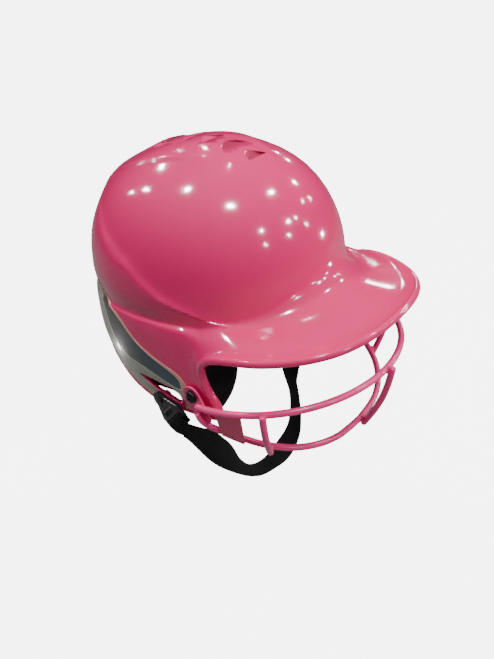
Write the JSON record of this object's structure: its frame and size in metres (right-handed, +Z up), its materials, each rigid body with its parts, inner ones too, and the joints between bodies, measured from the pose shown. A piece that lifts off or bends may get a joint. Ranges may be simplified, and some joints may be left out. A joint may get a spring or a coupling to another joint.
{
  "type": "batting helmet with face mask",
  "caption": "Hard-shell batting helmet with a short bill, ear flaps, a welded wire face mask, foam padding inside and a chin strap that hangs in a loop and swings.",
  "frame": {"origin": "middle of the wearer's head, level with the brow, on the centre plane", "axes": "+Z up, -Y forward along the bill, -X to the wearer's right"},
  "size_m": [0.2214, 0.309, 0.3698],
  "materials": {
    "shell": "gloss",
    "decal": "satin",
    "mask_paint": "satin",
    "screw_black": "satin",
    "washer_rubber": "matte",
    "nut_steel": "satin",
    "foam": "matte",
    "snap_plastic": "satin",
    "webbing": "matte"
  },
  "bodies": {
    "helmet": {"shell": "shell", "decal_right": "decal", "decal_left": "decal", "upper_bar": "mask_paint", "lower_bar": "mask_paint", "centre_strut": "mask_paint", "side_struts": "mask_paint", "cheek_plate_right": "mask_paint", "cheek_plate_left": "mask_paint", "tab_right": "mask_paint", "tab_left": "mask_paint", "clip_screws": "screw_black", "clip_washers": "washer_rubber", "clip_nuts": "nut_steel", "crown_pad": "foam", "front_pad": "foam", "side_pad_right": "foam", "side_pad_left": "foam", "rear_pad": "foam", "ear_pad_right": "foam", "ear_pad_left": "foam", "jaw_pad_right": "foam", "jaw_pad_left": "foam", "snap_studs": "snap_plastic"},
    "strap": {"strap_end_right": "snap_plastic", "strap_end_left": "snap_plastic", "webbing": "webbing"},
    "slider": {"strap_slider": "snap_plastic"}
  },
  "joints": [
    {"name": "strap_swing", "type": "hinge", "parent": "helmet", "child": "strap", "pos_m": [0, -0.008, -0.0925], "axis": [1, 0, 0], "range_deg": [-15, 50]},
    {"name": "slider_travel", "type": "slide", "parent": "strap", "child": "slider", "axis": [0, 0.225, -0.9744], "range_m": [-0.015, 0.015]}
  ]
}
